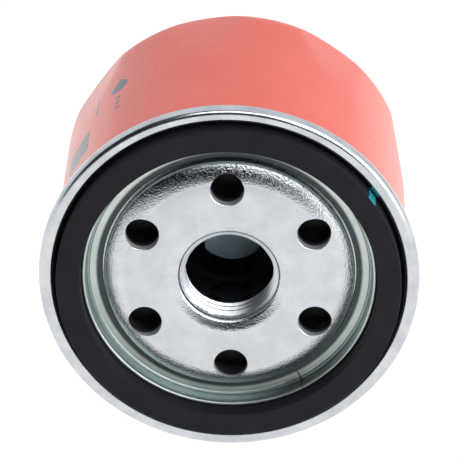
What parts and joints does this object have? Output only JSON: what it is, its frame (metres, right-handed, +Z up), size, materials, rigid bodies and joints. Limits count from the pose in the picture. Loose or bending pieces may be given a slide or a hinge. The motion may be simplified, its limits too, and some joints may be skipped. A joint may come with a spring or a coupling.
{
  "type": "spin-on oil filter",
  "caption": "Canister oil filter that spins onto an engine's threaded stud, with a rubber face gasket, ring of inlet holes, drain-back valve, pleated element and bypass valve.",
  "frame": {"origin": "centre of the gasket's sealing face, which rests on the engine", "axes": "-Y out of the mounting end along the filter's axis, +Y towards the domed end, +Z up with the filter mounted level"},
  "size_m": [0.075, 0.057, 0.075],
  "materials": {
    "red_paint": "satin gloss stoved paint",
    "zinc_lid": "smooth zinc plate",
    "zinc_plate": "grained zinc plate",
    "gasket_rubber": "matt moulded nitrile rubber",
    "valve_rubber": "smooth moulded rubber",
    "seam_compound": "cured sealing compound",
    "cap_steel": "tin plate",
    "tube_steel": "bare rolled steel",
    "filter_paper": "resin-cured filter paper",
    "adhesive": "cured plastisol",
    "valve_steel": "zinc plate",
    "spring_steel": "drawn spring wire"
  },
  "bodies": {
    "housing": {"canister": "red_paint", "seaming_lid": "zinc_lid", "seam_sealant": "seam_compound", "base_plate": "zinc_plate", "sealing_gasket": "gasket_rubber", "element_spring": "spring_steel"},
    "drainback_flap": {"drainback_valve": "valve_rubber"},
    "element": {"lower_end_cap": "cap_steel", "upper_end_cap": "cap_steel", "center_tube": "tube_steel", "pleated_media": "filter_paper", "media_seam_clip": "cap_steel", "lower_adhesive": "adhesive", "upper_adhesive": "adhesive", "bypass_valve_seal": "valve_rubber", "bypass_valve_cage": "valve_steel", "bypass_valve_spring": "spring_steel", "element_spring_cup": "valve_steel"},
    "bypass_poppet": {"bypass_valve_poppet": "valve_steel"}
  },
  "joints": [
    {"name": "drainback_lift", "type": "slide", "parent": "housing", "child": "drainback_flap", "axis": [0, 1, 0], "range_m": [0, 0.0018], "stiffness_N_per_m": 800, "springref_m": -0.001, "deforming": ["drainback_valve"]},
    {"name": "element_float", "type": "slide", "parent": "housing", "child": "element", "axis": [0, 1, 0], "range_m": [0, 0.002], "stiffness_N_per_m": 6000, "springref_m": -0.008, "deforming": ["element_spring"]},
    {"name": "bypass_opening", "type": "slide", "parent": "element", "child": "bypass_poppet", "axis": [0, -1, 0], "range_m": [0, 0.003], "stiffness_N_per_m": 1500, "springref_m": -0.004, "deforming": ["bypass_valve_spring"]}
  ]
}
